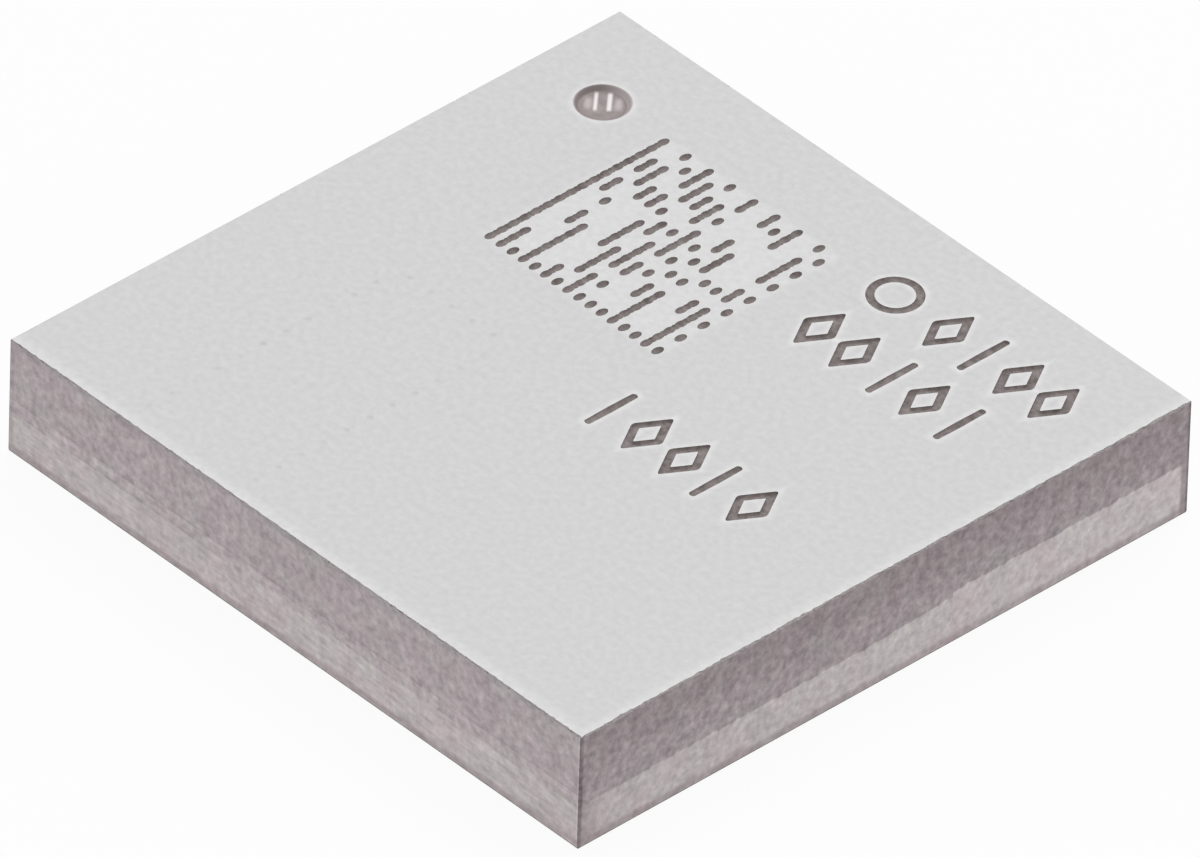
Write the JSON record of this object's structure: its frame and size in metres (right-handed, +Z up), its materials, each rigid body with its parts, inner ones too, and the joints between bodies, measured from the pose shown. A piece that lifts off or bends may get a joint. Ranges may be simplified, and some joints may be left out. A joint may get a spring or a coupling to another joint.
{
  "type": "amplifier chip",
  "caption": "Nearly square shielded amplifier module: a metal-coated molded cap on a laminate board, with flip-chip dies inside and solder lands underneath.",
  "frame": {"origin": "centre of the package's underside, on the seating plane", "axes": "+X along the reading direction of the top face, +Y towards the pin-one edge of the top face, +Z up"},
  "size_m": [0.0052, 0.005, 0.0009],
  "materials": {
    "shield_coat": "sputtered metal, fine satin",
    "mold": "silica-filled epoxy, sawn",
    "solder_mask": "smooth coating",
    "laminate": "glass-fibre resin, sawn",
    "land_plating": "gold plating",
    "copper": "plated copper",
    "solder": "reflowed tin alloy",
    "end_plating": "tin plating",
    "silicon": "polished",
    "gallium_arsenide": "polished",
    "filter_crystal": "lapped",
    "capacitor_ceramic": "fired, matt",
    "inductor_ceramic": "fired, matt"
  },
  "bodies": {
    "root": {"shield_coat": "shield_coat", "mold_cap": "mold", "bottom_solder_mask": "solder_mask", "top_solder_mask": "solder_mask", "lower_prepreg": "laminate", "laminate_core": "laminate", "upper_prepreg": "laminate", "signal_lands": "land_plating", "corner_lands": "land_plating", "ground_lands": "land_plating", "lower_ground_plane": "copper", "upper_ground_plane": "copper", "signal_vias": "copper", "ground_vias": "copper", "microvias": "copper", "component_pads": "copper", "fence_wires": "copper", "power_amplifier_die_pillars": "copper", "driver_amplifier_die_pillars": "copper", "antenna_switch_die_pillars": "copper", "low_noise_amplifier_die_pillars": "copper", "band_switch_die_pillars": "copper", "bias_controller_die_pillars": "copper", "filter_die_1_pillars": "copper", "filter_die_2_pillars": "copper", "filter_die_3_pillars": "copper", "filter_die_4_pillars": "copper", "filter_die_5_pillars": "copper", "filter_die_6_pillars": "copper", "solder_caps": "solder", "solder_joints": "solder", "capacitor_ends": "end_plating", "inductor_ends": "end_plating", "antenna_switch_die": "silicon", "low_noise_amplifier_die": "silicon", "band_switch_die": "silicon", "bias_controller_die": "silicon", "power_amplifier_die": "gallium_arsenide", "driver_amplifier_die": "gallium_arsenide", "filter_die_1": "filter_crystal", "filter_die_2": "filter_crystal", "filter_die_3": "filter_crystal", "filter_die_4": "filter_crystal", "filter_die_5": "filter_crystal", "filter_die_6": "filter_crystal", "capacitor_bodies": "capacitor_ceramic", "inductor_bodies": "inductor_ceramic"}
  },
  "joints": []
}
